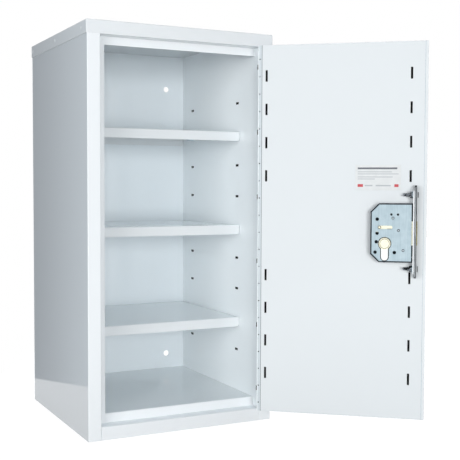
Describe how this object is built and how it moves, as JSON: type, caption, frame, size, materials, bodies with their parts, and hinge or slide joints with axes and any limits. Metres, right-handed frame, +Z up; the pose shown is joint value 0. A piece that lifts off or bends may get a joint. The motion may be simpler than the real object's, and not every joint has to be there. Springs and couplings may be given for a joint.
{
  "type": "medicine cabinet",
  "caption": "Wall-hung steel medicine cabinet with double-skinned sides, lift-off shelves on pegs, and a flush door on a continuous hinge with a key-turned deadbolt.",
  "frame": {"origin": "centre of the cabinet's base footprint, on the plane it stands on", "axes": "+X to the right and -Y to the front as seen from the open front, +Z up"},
  "size_m": [0.4702, 0.4763, 0.6],
  "materials": {
    "white_enamel": "semi-gloss white powder coat",
    "steel": "plain steel",
    "zinc_plate": "bright zinc plating",
    "spring_steel": "blued spring steel",
    "brass": "satin brass",
    "nickel": "satin nickel",
    "label_film": "blank white film"
  },
  "bodies": {
    "cabinet": {"left_side_panel": "white_enamel", "right_side_panel": "white_enamel", "left_liner": "white_enamel", "right_liner": "white_enamel", "back_panel": "white_enamel", "top_lid": "white_enamel", "lid_rivets": "white_enamel", "top_stop_rail": "white_enamel", "floor_pan": "white_enamel", "base_panel": "white_enamel", "upper_shelf_pegs": "steel", "middle_shelf_pegs": "steel", "lower_shelf_pegs": "steel", "hinge_frame_leaf": "white_enamel", "hinge_pin": "steel"},
    "door": {"hinge_door_leaf": "white_enamel", "door_skin": "white_enamel", "door_inner_panel": "white_enamel", "door_stiffener": "white_enamel", "door_label": "label_film", "lock_bracket": "white_enamel", "lock_forend": "steel", "forend_screws": "steel", "forend_washers": "steel", "forend_nuts": "steel", "lock_case": "zinc_plate", "lock_cover": "zinc_plate", "case_rivets": "steel", "bolt_spring": "spring_steel", "cylinder_body": "nickel", "cylinder_fixing_screw": "steel", "escutcheon": "nickel", "escutcheon_screws": "steel"},
    "bolt": {"deadbolt": "brass", "bolt_guide_pin": "brass"},
    "plug": {"cylinder_plug": "brass", "cylinder_cam": "nickel"},
    "shelf_upper": {"upper_shelf": "white_enamel"},
    "shelf_middle": {"middle_shelf": "white_enamel"},
    "shelf_lower": {"lower_shelf": "white_enamel"}
  },
  "joints": [
    {"name": "door_hinge", "type": "hinge", "parent": "cabinet", "child": "door", "pos_m": [0.1275, -0.1485, 0.3], "axis": [0, 0, 1], "range_deg": [-140.4, 34.6]},
    {"name": "plug_turn", "type": "hinge", "parent": "door", "child": "plug", "pos_m": [0.25685, -0.29445, 0.2833], "axis": [-0.6374, -0.7705, 0], "range_deg": [0, 362]},
    {"name": "deadbolt_slide", "type": "slide", "parent": "door", "child": "bolt", "axis": [0.7705, -0.6374, 0], "range_m": [0, 0.014]},
    {"name": "upper_shelf_lift", "type": "slide", "parent": "cabinet", "child": "shelf_upper", "axis": [0, 0, 1], "range_m": [0, 0.04]},
    {"name": "middle_shelf_lift", "type": "slide", "parent": "cabinet", "child": "shelf_middle", "axis": [0, 0, 1], "range_m": [0, 0.04]},
    {"name": "lower_shelf_lift", "type": "slide", "parent": "cabinet", "child": "shelf_lower", "axis": [0, 0, 1], "range_m": [0, 0.04]}
  ],
  "couplings": [
    {"joint": "plug_turn", "follows": "deadbolt_slide", "rad_per_m": 448.7}
  ]
}
